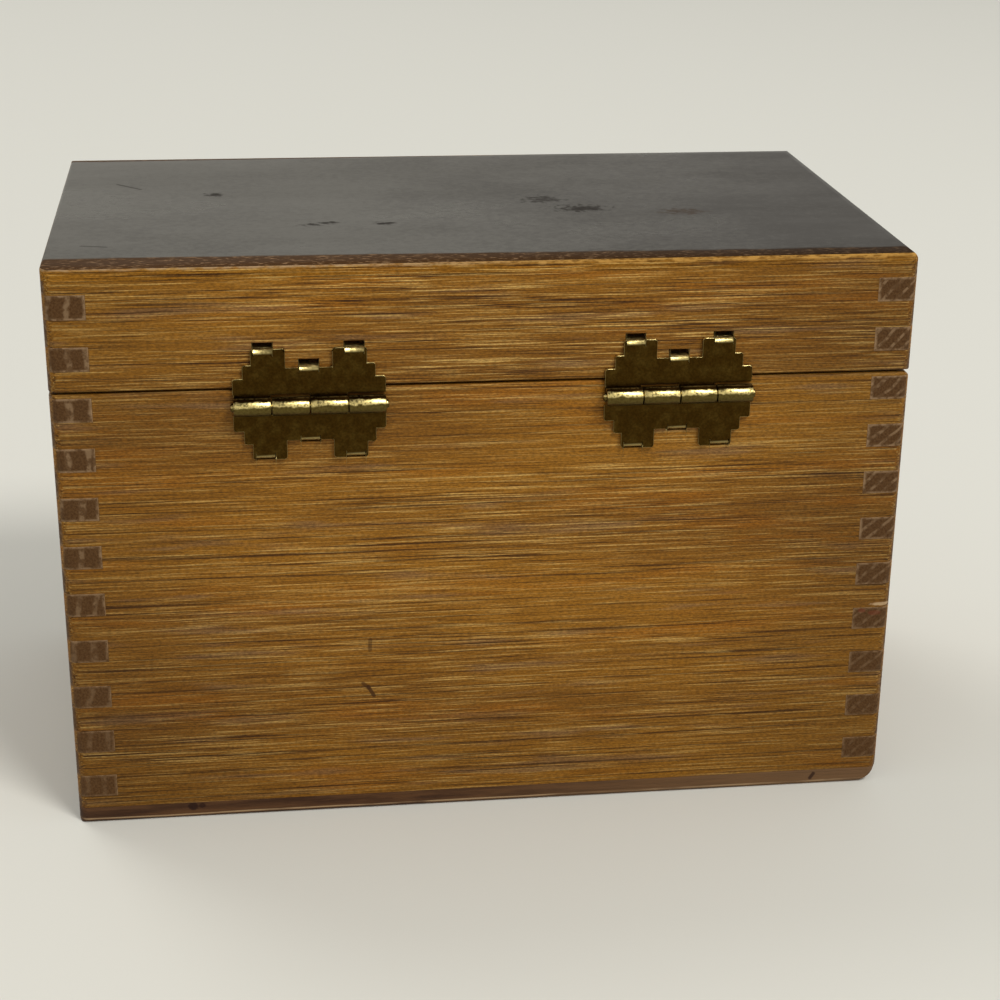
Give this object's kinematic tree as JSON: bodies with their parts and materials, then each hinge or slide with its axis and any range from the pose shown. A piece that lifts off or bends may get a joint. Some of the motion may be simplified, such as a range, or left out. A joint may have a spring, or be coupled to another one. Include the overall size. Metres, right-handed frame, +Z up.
{
  "type": "recipe card box",
  "caption": "Finger jointed wooden box for recipe cards, with a hinged lid of thin plywood on board walls and two stamped brass hinges behind.",
  "frame": {"origin": "middle of the underside, on the surface that the box stands on", "axes": "+Z up; the front faces -Y and the hinges are on the +Y side; +X is the box's right hand side seen from the front"},
  "size_m": [0.146, 0.0892, 0.101],
  "materials": {
    "stained_board": "satin varnish over golden brown stain",
    "dark_plywood": "smooth dark brown satin",
    "base_plywood": "stained plywood with pale veneer edge",
    "aged_brass": "tarnished, bright at the edges",
    "pin_brass": "worn"
  },
  "bodies": {
    "box": {"bottom_panel": "base_plywood", "body_back_board": "stained_board", "body_front_board": "stained_board", "body_left_side": "stained_board", "body_right_side": "stained_board", "left_hinge_lower_leaf": "aged_brass", "left_hinge_pin": "pin_brass", "right_hinge_lower_leaf": "aged_brass", "right_hinge_pin": "pin_brass"},
    "lid": {"lid_top_panel": "dark_plywood", "lid_back_board": "stained_board", "lid_front_board": "stained_board", "lid_left_side": "stained_board", "lid_right_side": "stained_board", "left_hinge_upper_leaf": "aged_brass", "right_hinge_upper_leaf": "aged_brass"}
  },
  "joints": [
    {"name": "lid_hinge", "type": "hinge", "parent": "box", "child": "lid", "pos_m": [0, 0.04465, 0.0772], "axis": [-1, 0, 0], "range_deg": [0, 180]}
  ]
}
